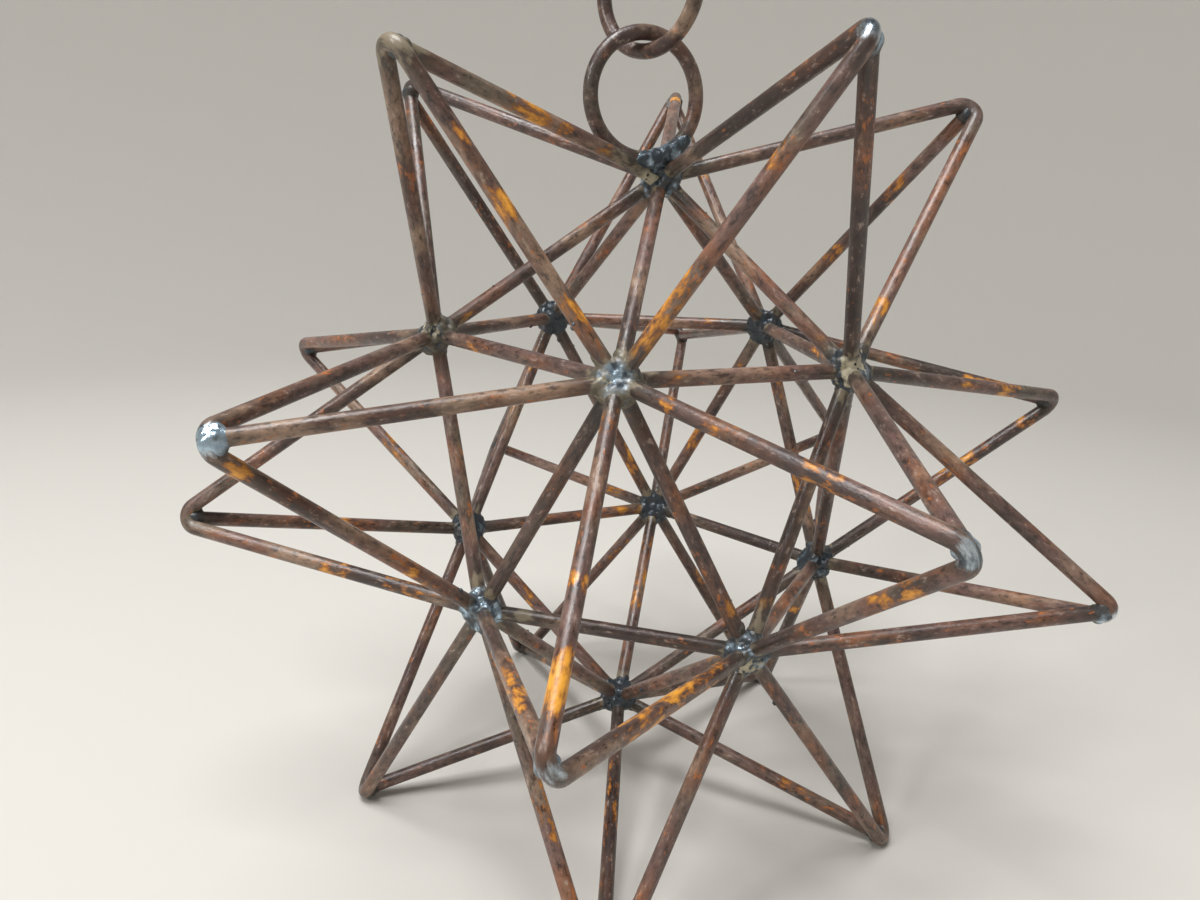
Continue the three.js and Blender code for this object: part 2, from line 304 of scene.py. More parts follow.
def aim_over(face, drift):
    """The point that a spike's legs aim at: as far from each hub of its face, but for the drift."""
    first, second, third = (hubs[hub] for hub in face.values())
    a, b = second - first, third - first
    square = a.cross(b)
    middle = first + (square.cross(a) * b.length_squared + b.cross(square) * a.length_squared) / (
        2 * square.length_squared
    )
    outward = square.normalized()
    if outward.dot(middle - star_middle) < 0:
        outward.negate()
    return middle + outward * SPIKE_RISE + Vector(drift) * MM


class Bow:
    """The line of a bar that runs from one hub to a bend at the tip and back to another hub."""

    def __init__(self, face, leg_hub, aim):
        self.first, self.last = (hub for side, hub in face.items() if side != leg_hub)
        self.leg_hub = face[leg_hub]
        self.inward = (aim - hubs[self.first]).normalized()
        self.outward = (hubs[self.last] - aim).normalized()
        half_angle = (math.pi - self.inward.angle(self.outward)) / 2
        middle = (self.outward - self.inward).normalized()
        self.sweep = math.pi - 2 * half_angle
        self.centre = aim + middle * BEND_RADIUS / math.sin(half_angle)
        self.across = self.inward.cross(self.outward).normalized()
        self.tip = self.centre - middle * BEND_RADIUS
        straight_out = BEND_RADIUS / math.tan(half_angle)
        self.first_run = (aim - hubs[self.first]).length - straight_out
        self.last_run = (hubs[self.last] - aim).length - straight_out


def spikes():
    """Every spike's name and bow, with the feet trued to one level."""
    for sector in range(SECTORS):
        own, after, before = (1 + (sector + step) % SECTORS for step in (0, 1, -1))
        crown = {"pole": "top", "own": f"upper_{own}", "next": f"upper_{after}"}
        upper = {"below": f"lower_{own}", "own": f"upper_{own}", "next": f"upper_{after}"}
        lower = {"above": f"upper_{own}", "last": f"lower_{before}", "own": f"lower_{own}"}
        crown_aim = aim_over(crown, CROWN_TIP_DRIFT[sector])
        upper_aim = aim_over(upper, UPPER_TIP_DRIFT[sector])
        lower_aim = aim_over(lower, LOWER_TIP_DRIFT[sector])
        yield f"crown_spike_{own}", Bow(crown, CROWN_LEG_HUB[sector], crown_aim)
        yield f"upper_spike_{own}", Bow(upper, UPPER_LEG_HUB[sector], upper_aim)
        yield f"lower_spike_{own}", Bow(lower, LOWER_LEG_HUB, lower_aim)
    feet = [
        {"pole": "bottom", "own": f"lower_{sector + 1}", "next": f"lower_{(sector + 1) % SECTORS + 1}"}
        for sector in range(SECTORS)
    ]
    aims = [aim_over(foot, drift) for foot, drift in zip(feet, FOOT_TIP_DRIFT)]
    heights = [Bow(foot, FOOT_LEG_HUB, aim).tip.z for foot, aim in zip(feet, aims)]
    level = sum(heights) / SECTORS
    for sector, (foot, aim, height) in enumerate(zip(feet, aims, heights)):
        yield f"foot_spike_{sector + 1}", Bow(foot, FOOT_LEG_HUB, aim + UP * (level - height))


# Finishes
def linear(hex_colour):
    """An sRGB hex colour as a linear one."""
    channels = [int(hex_colour[start : start + 2], 16) / 255 for start in (1, 3, 5)]
    return [c / 12.92 if c <= 0.04045 else ((c + 0.055) / 1.055) ** 2.4 for c in channels] + [1]


def add_node(tree, kind, inputs, **settings):
    """Adds a node, sets its options, and sets or links its inputs."""
    node = tree.nodes.new(kind)
    for name, value in settings.items():
        setattr(node, name, value)
    for name, value in inputs.items():
        if isinstance(value, bpy.types.NodeSocket):
            tree.links.new(value, node.inputs[name])
        else:
            node.inputs[name].default_value = value
    return node


def new_finish(name):
    material = bpy.data.materials.new(name)
    material.use_nodes = True
    return material, material.node_tree, material.node_tree.nodes["Principled BSDF"]


# A Mix node's colour sockets have no names of their own
MIX_FIRST, MIX_SECOND, MIX_OUT = 6, 7, 2


def rusted_bar_finish():
    """Hot-rolled mild steel bar, rusted outdoors and waxed: purple-brown, red and khaki tones that drift
    along the bar, dark pits and pale worn scale, flecks and blooms of orange rust, soot and ash where it
    was welded, and small waxy glints."""
    material, tree, shader = new_finish("rusted_waxed_steel_bar")
    grain = add_node(tree, "ShaderNodeAttribute", {}, attribute_name="grain").outputs["Vector"]
    weld_gap = add_node(tree, "ShaderNodeAttribute", {}, attribute_name="weld_gap").outputs["Fac"]
    bloom = add_node(tree, "ShaderNodeAttribute", {}, attribute_name="bloom").outputs["Fac"]
    bright = add_node(tree, "ShaderNodeAttribute", {}, attribute_name="bright").outputs["Fac"]
    tone_and_shade = add_node(tree, "ShaderNodeAttribute", {}, attribute_name="tone_and_shade").outputs["Fac"]

    # Tones that drift over some 30 mm of bar
    drift = add_node(tree, "ShaderNodeTexNoise", {"Vector": grain, "Scale": 1 / (12 * MM), "Detail": 3})
    tones = add_node(tree, "ShaderNodeSeparateColor", {"Color": drift.outputs["Color"]}).outputs
    red_share = add_node(
        tree,
        "ShaderNodeMapRange",
        {"Value": tones["Red"], "From Min": 0.42, "From Max": 0.66},
        interpolation_type="SMOOTHSTEP",
    ).outputs["Result"]
    reddened = add_node(
        tree,
        "ShaderNodeMix",
        {0: red_share, MIX_FIRST: linear("#745850"), MIX_SECOND: linear("#87563a")},
        data_type="RGBA",
    ).outputs[MIX_OUT]
    khaki_share = add_node(
        tree,
        "ShaderNodeMapRange",
        {"Value": tones["Green"], "From Min": 0.5, "From Max": 0.68, "To Max": 0.8},
        interpolation_type="SMOOTHSTEP",
    ).outputs["Result"]
    toned = add_node(
        tree,
        "ShaderNodeMix",
        {0: khaki_share, MIX_FIRST: reddened, MIX_SECOND: linear("#766b5a")},
        data_type="RGBA",
    ).outputs[MIX_OUT]

    # Some bars are darker than others, end to end
    batch = add_node(
        tree, "ShaderNodeTexNoise", {"Vector": grain, "Scale": 1 / (90 * MM), "Detail": 1}
    ).outputs["Fac"]
    batch_share = add_node(
        tree, "ShaderNodeMapRange", {"Value": batch, "From Min": 0.42, "From Max": 0.62, "To Max": 0.85}
    ).outputs["Result"]
    batched = add_node(
        tree,
        "ShaderNodeMix",
        {0: batch_share, MIX_FIRST: toned, MIX_SECOND: linear("#2c1c17")},
        data_type="RGBA",
    ).outputs[MIX_OUT]

    # Faded and blackened stretches, some 40 mm long, shifted paler or darker by the bar's tone; where
    # that tone is painted shade, the blackening is painted shade too
    fade_noise = add_node(
        tree,
        "ShaderNodeTexNoise",
        {"Vector": grain, "Scale": 1 / (17 * MM), "Detail": 4, "Roughness": 0.6},
    ).outputs["Fac"]
    fade = add_node(tree, "ShaderNodeMath", {0: fade_noise, 1: tone_and_shade}, operation="ADD").outputs["Value"]
    faded_share = add_node(
        tree,
        "ShaderNodeMapRange",
        {"Value": fade, "From Min": 0.5, "From Max": 0.68, "To Max": 0.65},
        interpolation_type="SMOOTHSTEP",
    ).outputs["Result"]
    faded = add_node(
        tree,
        "ShaderNodeMix",
        {0: faded_share, MIX_FIRST: batched, MIX_SECOND: linear("#a5886f")},
        data_type="RGBA",
    ).outputs[MIX_OUT]
    # The darker stretches: blackened rust, and painted shade on the bars whose tone is shade
    blackened_and_shaded_share = add_node(
        tree,
        "ShaderNodeMapRange",
        {"Value": fade, "From Min": 0.32, "From Max": 0.48, "To Min": 0.7, "To Max": 0},
        interpolation_type="SMOOTHSTEP",
    ).outputs["Result"]
    blackened_and_shaded = add_node(
        tree,
        "ShaderNodeMix",
        {0: blackened_and_shaded_share, MIX_FIRST: faded, MIX_SECOND: linear("#2b1e1a")},
        data_type="RGBA",
    ).outputs[MIX_OUT]

    # Pits and worn scale, 1 to 2 mm across
    scale = add_node(
        tree,
        "ShaderNodeTexNoise",
        {"Vector": grain, "Scale": 1 / (2 * MM), "Detail": 6, "Roughness": 0.7},
    ).outputs["Fac"]
    pit_share = add_node(
        tree,
        "ShaderNodeMapRange",
        {"Value": scale, "From Min": 0.33, "From Max": 0.53, "To Min": 0.8, "To Max": 0},
        interpolation_type="SMOOTHSTEP",
    ).outputs["Result"]
    pitted = add_node(
        tree,
        "ShaderNodeMix",
        {0: pit_share, MIX_FIRST: blackened_and_shaded, MIX_SECOND: linear("#19110f")},
        data_type="RGBA",
    ).outputs[MIX_OUT]
    worn_share = add_node(
        tree,
        "ShaderNodeMapRange",
        {"Value": scale, "From Min": 0.55, "From Max": 0.72, "To Max": 0.6},
        interpolation_type="SMOOTHSTEP",
    ).outputs["Result"]
    worn = add_node(
        tree,
        "ShaderNodeMix",
        {0: worn_share, MIX_FIRST: pitted, MIX_SECOND: linear("#bda899")},
        data_type="RGBA",
    ).outputs[MIX_OUT]

    # Flecks of rust about 2 mm across, in the redder stretches
    fleck = add_node(
        tree,
        "ShaderNodeTexNoise",
        {"Vector": grain, "Scale": 1 / (2.6 * MM), "Detail": 4, "Roughness": 0.6},
    ).outputs["Fac"]
    fleck_sum = add_node(
        tree, "ShaderNodeMath", {0: tones["Red"], 1: 0.4, 2: fleck}, operation="MULTIPLY_ADD"
    ).outputs["Value"]
    fleck_share = add_node(
        tree,
        "ShaderNodeMapRange",
        {"Value": fleck_sum, "From Min": 0.82, "From Max": 0.92, "To Max": 0.85},
        interpolation_type="SMOOTHSTEP",
    ).outputs["Result"]
    flecked = add_node(
        tree,
        "ShaderNodeMix",
        {0: fleck_share, MIX_FIRST: worn, MIX_SECOND: linear("#ad6328")},
        data_type="RGBA",
    ).outputs[MIX_OUT]

    # Blooms, ragged because the scale breaks them up
    bloom_noise = add_node(
        tree,
        "ShaderNodeTexNoise",
        {"Vector": grain, "Scale": 1 / (3.4 * MM), "Detail": 5, "Roughness": 0.62},
    ).outputs["Fac"]
    bloom_sum = add_node(
        tree, "ShaderNodeMath", {0: bloom, 1: 0.5, 2: bloom_noise}, operation="MULTIPLY_ADD"
    ).outputs["Value"]
    bloom_share = add_node(
        tree,
        "ShaderNodeMapRange",
        {"Value": bloom_sum, "From Min": 0.86, "From Max": 0.97, "To Max": 0.92},
        interpolation_type="SMOOTHSTEP",
    ).outputs["Result"]
    bloom_depth = add_node(
        tree,
        "ShaderNodeMapRange",
        {"Value": bloom_sum, "From Min": 0.88, "From Max": 1.12},
        interpolation_type="SMOOTHSTEP",
    ).outputs["Result"]
    bloom_colour = add_node(
        tree,
        "ShaderNodeMix",
        {0: bloom_depth, MIX_FIRST: linear("#8d5019"), MIX_SECOND: linear("#efa632")},
        data_type="RGBA",
    ).outputs[MIX_OUT]
    bloomed = add_node(
        tree,
        "ShaderNodeMix",
        {0: bloom_share, MIX_FIRST: flecked, MIX_SECOND: bloom_colour},
        data_type="RGBA",
    ).outputs[MIX_OUT]

    # Soot and pale ash towards the welds
    soot_place = add_node(
        tree, "ShaderNodeMath", {0: tones["Blue"], 1: 20 * MM, 2: weld_gap}, operation="MULTIPLY_ADD"
    ).outputs["Value"]
    soot_share = add_node(
        tree,
        "ShaderNodeMapRange",
        {"Value": soot_place, "From Min": 17 * MM, "From Max": 36 * MM, "To Min": 0.8, "To Max": 0},
        interpolation_type="SMOOTHSTEP",
    ).outputs["Result"]
    sooted = add_node(
        tree,
        "ShaderNodeMix",
        {0: soot_share, MIX_FIRST: bloomed, MIX_SECOND: linear("#38322c")},
        data_type="RGBA",
    ).outputs[MIX_OUT]
    ash_sum = add_node(
        tree, "ShaderNodeMath", {0: bloom_noise, 1: soot_share}, operation="MULTIPLY"
    ).outputs["Value"]
    ash_share = add_node(
        tree,
        "ShaderNodeMapRange",
        {"Value": ash_sum, "From Min": 0.34, "From Max": 0.45, "To Max": 0.75},
        interpolation_type="SMOOTHSTEP",
    ).outputs["Result"]
    ashen = add_node(
        tree,
        "ShaderNodeMix",
        {0: ash_share, MIX_FIRST: sooted, MIX_SECOND: linear("#8c8069")},
        data_type="RGBA",
    ).outputs[MIX_OUT]

    # Bare bright metal where a tip's weld left the bend so, partly painted highlight: its near-white,
    # blue-tinted colour stands in for sky reflected off the shiny bends
    bright_sum = add_node(
        tree, "ShaderNodeMath", {0: bloom_noise, 1: 0.8, 2: bright}, operation="MULTIPLY_ADD"
    ).outputs["Value"]
    bright_share = add_node(
        tree,
        "ShaderNodeMapRange",
        {"Value": bright_sum, "From Min": 0.92, "From Max": 1.16, "To Max": 0.95},
        interpolation_type="SMOOTHSTEP",
    ).outputs["Result"]
    bright_tone = add_node(
        tree, "ShaderNodeMapRange", {"Value": bloom_noise, "From Min": 0.4, "From Max": 0.6}
    ).outputs["Result"]
    bright_metal_and_reflection = add_node(
        tree,
        "ShaderNodeMix",
        {0: bright_tone, MIX_FIRST: linear("#4a5761"), MIX_SECOND: linear("#cbd7df")},
        data_type="RGBA",
    ).outputs[MIX_OUT]
    brightened = add_node(
        tree,
        "ShaderNodeMix",
        {0: bright_share, MIX_FIRST: ashen, MIX_SECOND: bright_metal_and_reflection},
        data_type="RGBA",
    ).outputs[MIX_OUT]
    metallic = add_node(
        tree, "ShaderNodeMath", {0: bright_share, 1: 0.9}, operation="MULTIPLY"
    ).outputs["Value"]

    # The relief that breaks the wax's shine into glints
    grit = add_node(
        tree, "ShaderNodeTexNoise", {"Vector": grain, "Scale": 1 / (1.1 * MM), "Detail": 2}
    ).outputs["Fac"]
    relief = add_node(
        tree, "ShaderNodeMath", {0: grit, 1: 0.6, 2: scale}, operation="MULTIPLY_ADD"
    ).outputs["Value"]
    bump = add_node(tree, "ShaderNodeBump", {"Height": relief, "Strength": 0.6, "Distance": 0.3 * MM})
    rust_roughness = add_node(
        tree,
        "ShaderNodeMapRange",
        {"Value": scale, "From Min": 0.3, "From Max": 0.7, "To Min": 0.4, "To Max": 0.65},
    ).outputs["Result"]
    wax = add_node(
        tree, "ShaderNodeTexNoise", {"Vector": grain, "Scale": 1 / (5 * MM), "Detail": 2}
    ).outputs["Fac"]
    wax_share = add_node(
        tree,
        "ShaderNodeMapRange",
        {"Value": wax, "From Min": 0.54, "From Max": 0.64},
        interpolation_type="SMOOTHSTEP",
    ).outputs["Result"]
    waxed_roughness = add_node(
        tree, "ShaderNodeMath", {0: wax_share, 1: -0.2, 2: rust_roughness}, operation="MULTIPLY_ADD"
    ).outputs["Value"]
    roughness = add_node(
        tree,
        "ShaderNodeMath",
        {0: bright_share, 1: -0.34, 2: waxed_roughness},
        operation="MULTIPLY_ADD",
        use_clamp=True,
    ).outputs["Value"]
    tree.links.new(brightened, shader.inputs["Base Color"])
    tree.links.new(metallic, shader.inputs["Metallic"])
    tree.links.new(roughness, shader.inputs["Roughness"])
    tree.links.new(bump.outputs["Normal"], shader.inputs["Normal"])
    tree.links.new(bump.outputs["Normal"], shader.inputs["Coat Normal"])
    shader.inputs["Coat Weight"].default_value = 0.4
    shader.inputs["Coat Roughness"].default_value = 0.14
    return material


def weld_finish():
    """Arc-welded steel, left as laid: a dark blue-black oxide skin, smooth as it froze, with bright
    silver-blue spots whose blue tint is a painted reflection of sky, rust in places, and khaki slag with
    black pinholes where the crust was left on."""
    material, tree, shader = new_finish("arc_welded_steel")
    place = add_node(tree, "ShaderNodeTexCoord", {}).outputs["Object"]
    shine = add_node(tree, "ShaderNodeAttribute", {}, attribute_name="shine").outputs["Fac"]
    slag = add_node(tree, "ShaderNodeAttribute", {}, attribute_name="slag").outputs["Fac"]
    ash = add_node(tree, "ShaderNodeAttribute", {}, attribute_name="ash").outputs["Fac"]
    toe = add_node(tree, "ShaderNodeAttribute", {}, attribute_name="toe").outputs["Fac"]
    patch = add_node(tree, "ShaderNodeTexNoise", {"Vector": place, "Scale": 1 / (4.5 * MM), "Detail": 4})
    patches = add_node(tree, "ShaderNodeSeparateColor", {"Color": patch.outputs["Color"]}).outputs
    grit = add_node(
        tree,
        "ShaderNodeTexNoise",
        {"Vector": place, "Scale": 1 / (1.6 * MM), "Detail": 4, "Roughness": 0.6},
    ).outputs["Fac"]

    # Rust over the oxide
    rust_share = add_node(
        tree,
        "ShaderNodeMapRange",
        {"Value": grit, "From Min": 0.52, "From Max": 0.7, "To Max": 0.8},
        interpolation_type="SMOOTHSTEP",
    ).outputs["Result"]
    rusted = add_node(
        tree,
        "ShaderNodeMix",
        {0: rust_share, MIX_FIRST: linear("#323c44"), MIX_SECOND: linear("#4a3c33")},
        data_type="RGBA",
    ).outputs[MIX_OUT]

    # Bright metal, the more the weld shines, partly painted highlight: its pale blue-silver stands in for
    # sky reflected off the weld
    bright_sum = add_node(
        tree, "ShaderNodeMath", {0: shine, 1: 0.4, 2: patches["Red"]}, operation="MULTIPLY_ADD"
    ).outputs["Value"]
    bright_share = add_node(
        tree,
        "ShaderNodeMapRange",
        {"Value": bright_sum, "From Min": 0.74, "From Max": 1.02},
        interpolation_type="SMOOTHSTEP",
    ).outputs["Result"]
    brightened = add_node(
        tree,
        "ShaderNodeMix",
        {0: bright_share, MIX_FIRST: rusted, MIX_SECOND: linear("#b0c6d6")},
        data_type="RGBA",
    ).outputs[MIX_OUT]

    # Slag, where the weld has any
    slag_sum = add_node(
        tree, "ShaderNodeMath", {0: slag, 1: 0.42, 2: patches["Green"]}, operation="MULTIPLY_ADD"
    ).outputs["Value"]
    slag_share = add_node(
        tree,
        "ShaderNodeMapRange",
        {"Value": slag_sum, "From Min": 0.74, "From Max": 0.82, "To Max": 0.95},
        interpolation_type="SMOOTHSTEP",
    ).outputs["Result"]
    pinhole = add_node(
        tree, "ShaderNodeTexVoronoi", {"Vector": place, "Scale": 1 / (4 * MM)}
    ).outputs["Distance"]
    pinhole_share = add_node(
        tree,
        "ShaderNodeMapRange",
        {"Value": pinhole, "From Min": 0.12, "From Max": 0.2, "To Min": 1, "To Max": 0},
        interpolation_type="SMOOTHSTEP",
    ).outputs["Result"]
    slag_colour = add_node(
        tree,
        "ShaderNodeMix",
        {0: grit, MIX_FIRST: linear("#7f765f"), MIX_SECOND: linear("#ded5b9")},
        data_type="RGBA",
    ).outputs[MIX_OUT]
    pinholed = add_node(
        tree,
        "ShaderNodeMix",
        {0: pinhole_share, MIX_FIRST: slag_colour, MIX_SECOND: linear("#14110f")},
        data_type="RGBA",
    ).outputs[MIX_OUT]
    crusted = add_node(
        tree,
        "ShaderNodeMix",
        {0: slag_share, MIX_FIRST: brightened, MIX_SECOND: pinholed},
        data_type="RGBA",
    ).outputs[MIX_OUT]

    # Towards its toe the weld goes over into sooty rust
    toe_sum = add_node(
        tree, "ShaderNodeMath", {0: patches["Blue"], 1: 1.2, 2: toe}, operation="MULTIPLY_ADD"
    ).outputs["Value"]
    toe_share = add_node(
        tree,
        "ShaderNodeMapRange",
        {"Value": toe_sum, "From Min": 0.75, "From Max": 1.25, "To Max": 0.95},
        interpolation_type="SMOOTHSTEP",
    ).outputs["Result"]
    toe_light = add_node(
        tree,
        "ShaderNodeMix",
        {0: ash, MIX_FIRST: linear("#3b332d"), MIX_SECOND: linear("#91876f")},
        data_type="RGBA",
    ).outputs[MIX_OUT]
    toe_colour = add_node(
        tree,
        "ShaderNodeMix",
        {0: grit, MIX_FIRST: linear("#1d1917"), MIX_SECOND: toe_light},
        data_type="RGBA",
    ).outputs[MIX_OUT]
    toed = add_node(
        tree,
        "ShaderNodeMix",
        {0: toe_share, MIX_FIRST: crusted, MIX_SECOND: toe_colour},
        data_type="RGBA",
    ).outputs[MIX_OUT]

    # Slag and soot are dull and no metal, the oxide skin is half glass, and bright metal is smoothest
    dull_share = add_node(
        tree, "ShaderNodeMath", {0: slag_share, 1: toe_share}, operation="MAXIMUM"
    ).outputs["Value"]
    skin_metallic = add_node(
        tree, "ShaderNodeMapRange", {"Value": bright_share, "To Min": 0.3, "To Max": 0.9}
    ).outputs["Result"]
    metallic = add_node(
        tree,
        "ShaderNodeMapRange",
        {"Value": dull_share, "To Min": skin_metallic, "To Max": 0},
    ).outputs["Result"]
    skin_roughness = add_node(
        tree, "ShaderNodeMapRange", {"Value": bright_share, "To Min": 0.34, "To Max": 0.15}
    ).outputs["Result"]
    roughness = add_node(
        tree, "ShaderNodeMath", {0: dull_share, 1: 0.3, 2: skin_roughness}, operation="MULTIPLY_ADD"
    ).outputs["Value"]
    relief = add_node(
        tree, "ShaderNodeMath", {0: grit, 1: 0.6, 2: patches["Blue"]}, operation="MULTIPLY_ADD"
    ).outputs["Value"]
    bump = add_node(tree, "ShaderNodeBump", {"Height": relief, "Strength": 0.6, "Distance": 0.5 * MM})
    tree.links.new(toed, shader.inputs["Base Color"])
    tree.links.new(metallic, shader.inputs["Metallic"])
    tree.links.new(roughness, shader.inputs["Roughness"])
    tree.links.new(bump.outputs["Normal"], shader.inputs["Normal"])
    tree.links.new(bump.outputs["Normal"], shader.inputs["Coat Normal"])
    shader.inputs["Coat Weight"].default_value = 0.25
    shader.inputs["Coat Roughness"].default_value = 0.1
    return material


# Pieces
def new_piece(name, bm, finish, body="welded_star"):
    """A finished mesh as an object that rides on a body."""
    bmesh.ops.recalc_face_normals(bm, faces=bm.faces)
    mesh = bpy.data.meshes.new(name)
    bm.to_mesh(mesh)
    bm.free()
    mesh.materials.append(finish)
    mesh.shade_smooth()
    piece = bpy.data.objects.new(name, mesh)
    bpy.context.scene.collection.objects.link(piece)
    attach(piece, body)
    return piece


def bar_bmesh():
    """An empty mesh, with a layer for each thing that a bar's points hold."""
    bm = bmesh.new()
    bm.verts.layers.float_vector.new("grain")
    for layer in BAR_LAYERS:
        bm.verts.layers.float.new(layer)
    return bm


class Bar:
    """A round bar that grows from a hub step by step."""

    count = 0

    def __init__(self, bm, name, hub, along, length, welds, blooms):
        Bar.count += 1
        self.bm, self.along, self.length, self.welds, self.blooms = bm, along, length, welds, blooms
        # The bar's tone, which on some bars is painted shade
        self.tone_and_shade = BAR_TONES_AND_SHADE.get(name, 0)
        self.grown = ROOT
        self.grain_start = Bar.count * GRAIN_APART
        facing = along.to_track_quat("Z", "Y").to_matrix().to_4x4()
        place = Matrix.Translation(hub + along * ROOT) @ facing
        circle = bmesh.ops.create_circle(
            bm, cap_ends=True, segments=BAR_SIDES, radius=BAR_RADIUS, matrix=place
        )
        self.ring = circle["verts"]
        self.edges = list({edge for point in self.ring for edge in point.link_edges})
        grain = bm.verts.layers.float_vector["grain"]
        to_section = place.inverted()
        for point in self.ring:
            point[grain] = to_section @ point.co
        self.mark()

    def mark(self):
        """Writes what the newest ring's points hold."""
        layers = self.bm.verts.layers
        share = self.grown / self.length
        bloom = max(
            (
                strength * (1 - ((share - at) * self.length / (half * MM)) ** 2)
                for at, half, strength in self.blooms
            ),
            default=0,
        )
        for point in self.ring:
            sideways, upwards, _ = point[layers.float_vector["grain"]]
            point[layers.float_vector["grain"]] = (
                sideways,
                upwards,
                self.grain_start + self.grown * GRAIN_SQUEEZE,
            )
            gaps = [((point.co - weld).length, spare, shine) for weld, spare, shine in self.welds]
            point[layers.float["weld_gap"]] = min(gap + spare for gap, spare, _ in gaps)
            bright = max(shine * (1 - gap / BRIGHT_REACH) for gap, _, shine in gaps)
            point[layers.float["bright"]] = max(0, bright)
            point[layers.float["bloom"]] = max(0, bloom)
            point[layers.float["tone_and_shade"]] = self.tone_and_shade

    def extrude(self):
        grown = bmesh.ops.extrude_edge_only(self.bm, edges=self.edges)["geom"]
        self.ring = [part for part in grown if isinstance(part, bmesh.types.BMVert)]
        self.edges = [part for part in grown if isinstance(part, bmesh.types.BMEdge)]

    def straight(self, length):
        steps = max(2, round(length / BAR_STEP))
        for _ in range(steps):
            self.extrude()
            bmesh.ops.translate(self.bm, verts=self.ring, vec=self.along * (length / steps))
            self.grown += length / steps
            self.mark()

    def bend(self, centre, across, sweep):
        step = Matrix.Rotation(sweep / BEND_STEPS, 3, across)
        for _ in range(BEND_STEPS):
            self.extrude()
            bmesh.ops.rotate(self.bm, verts=self.ring, cent=centre, matrix=step)
            self.grown += BEND_RADIUS * sweep / BEND_STEPS
            self.mark()
        self.along = Matrix.Rotation(sweep, 3, across) @ self.along

    def close(self):
        bmesh.ops.contextual_create(self.bm, geom=self.edges)


# The ways that bars run out of each hub, filled in as the bars are made
roots = {hub: [] for hub in hubs}


def hub_heat(name, hub):
    """Where a hub's weld heated a bar, how much sooner its soot ends, and how bright it left the bar."""
    return hubs[hub], -LONG_ASH.get((name, hub), 0) * MM, 0


def tip_heat(name, bow):
    """The same for a tip's weld, by the name of the bar."""
    spike = name.rpartition("_")[0]
    shine = TIP_FINISH.get(spike, PLAIN_WELD)[0]
    return bow.tip, TIP_SPARE.get(spike, PLAIN_TIP_SPARE), shine if shine > BRIGHT_BEND else 0


def blooms_on(name, first, last):
    """A bar's blooms: those that are known, or on the star's far side some by chance."""
    if name in BLOOMS or (hubs[first] + hubs[last]).y < 2 * star_middle.y:
        return BLOOMS.get(name, ())
    chance = random.Random(f"{name} {first}")
    return [
        [chance.uniform(*span) for span in FAR_BLOOM_SPANS]
        for _ in range(chance.randint(0, FAR_BLOOMS))
    ]


def grow_rod(bm, name, first, last):
    """A straight rod from hub to hub, with both its ends in the welds."""
    along = (hubs[last] - hubs[first]).normalized()
    length = (hubs[last] - hubs[first]).length
    heat = (hub_heat(name, first), hub_heat(name, last))
    rod = Bar(bm, name, hubs[first], along, length, heat, blooms_on(name, first, last))
    rod.straight(length - 2 * ROOT)
    rod.close()
    roots[first].append(along)
    roots[last].append(-along)


def rod_piece(name, *ends):
    bm = bar_bmesh()
    for first, last in ends:
        grow_rod(bm, name, first, last)
    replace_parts(new_piece(f"{name}_bar", bm, rusted_bar), name)


def bow_piece(name, bow):
    bm = bar_bmesh()
    length = bow.first_run + BEND_RADIUS * bow.sweep + bow.last_run
    welds = (hub_heat(name, bow.first), tip_heat(name, bow), hub_heat(name, bow.last))
    bar = Bar(bm, name, hubs[bow.first], bow.inward, length, welds, blooms_on(name, bow.first, bow.last))
    bar.straight(bow.first_run - ROOT)
    bar.bend(bow.centre, bow.across, bow.sweep)
    bar.straight(bow.last_run - ROOT)
    bar.close()
    roots[bow.first].append(bow.inward)
    roots[bow.last].append(-bow.outward)
    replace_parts(new_piece(f"{name}_bar", bm, rusted_bar), name)


def leg_piece(name, bow):
    bm = bar_bmesh()
    hub = hubs[bow.leg_hub]
    along = (bow.tip - hub).normalized()
    length = (bow.tip - hub).length
    welds = (hub_heat(name, bow.leg_hub), tip_heat(name, bow))
    bar = Bar(bm, name, hub, along, length, welds, blooms_on(name, bow.leg_hub, bow.leg_hub))
    bar.straight(length - ROOT)
    bar.close()
    roots[bow.leg_hub].append(along)
    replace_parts(new_piece(f"{name}_bar", bm, rusted_bar), name)


def ring_piece(name, middle, turn, body):
    """A ring of bar that stands on edge. Its grain is its place, so its ends meet without a seam."""
    bm = bar_bmesh()
    along = Vector((math.cos(turn), math.sin(turn), 0))
    across = along.cross(UP)
    facing = Matrix((along, -across, UP)).transposed().to_4x4()
    section = Matrix.Translation(middle + along * RING_RADIUS) @ facing
    circle = bmesh.ops.create_circle(bm, segments=BAR_SIDES, radius=BAR_RADIUS, matrix=section)["verts"]
    edges = {edge for point in circle for edge in point.link_edges}
    bmesh.ops.spin(
        bm,
        geom=[*circle, *edges],
        cent=middle,
        axis=across,
        angle=math.tau,
        steps=RING_STEPS,
        use_merge=True,
    )
    layers = bm.verts.layers
    for point in bm.verts:
        point[layers.float_vector["grain"]] = point.co * RING_GRAIN
        point[layers.float["weld_gap"]] = (point.co - ring_seat).length
    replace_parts(new_piece(f"{name}_bar", bm, rusted_bar, body), name)


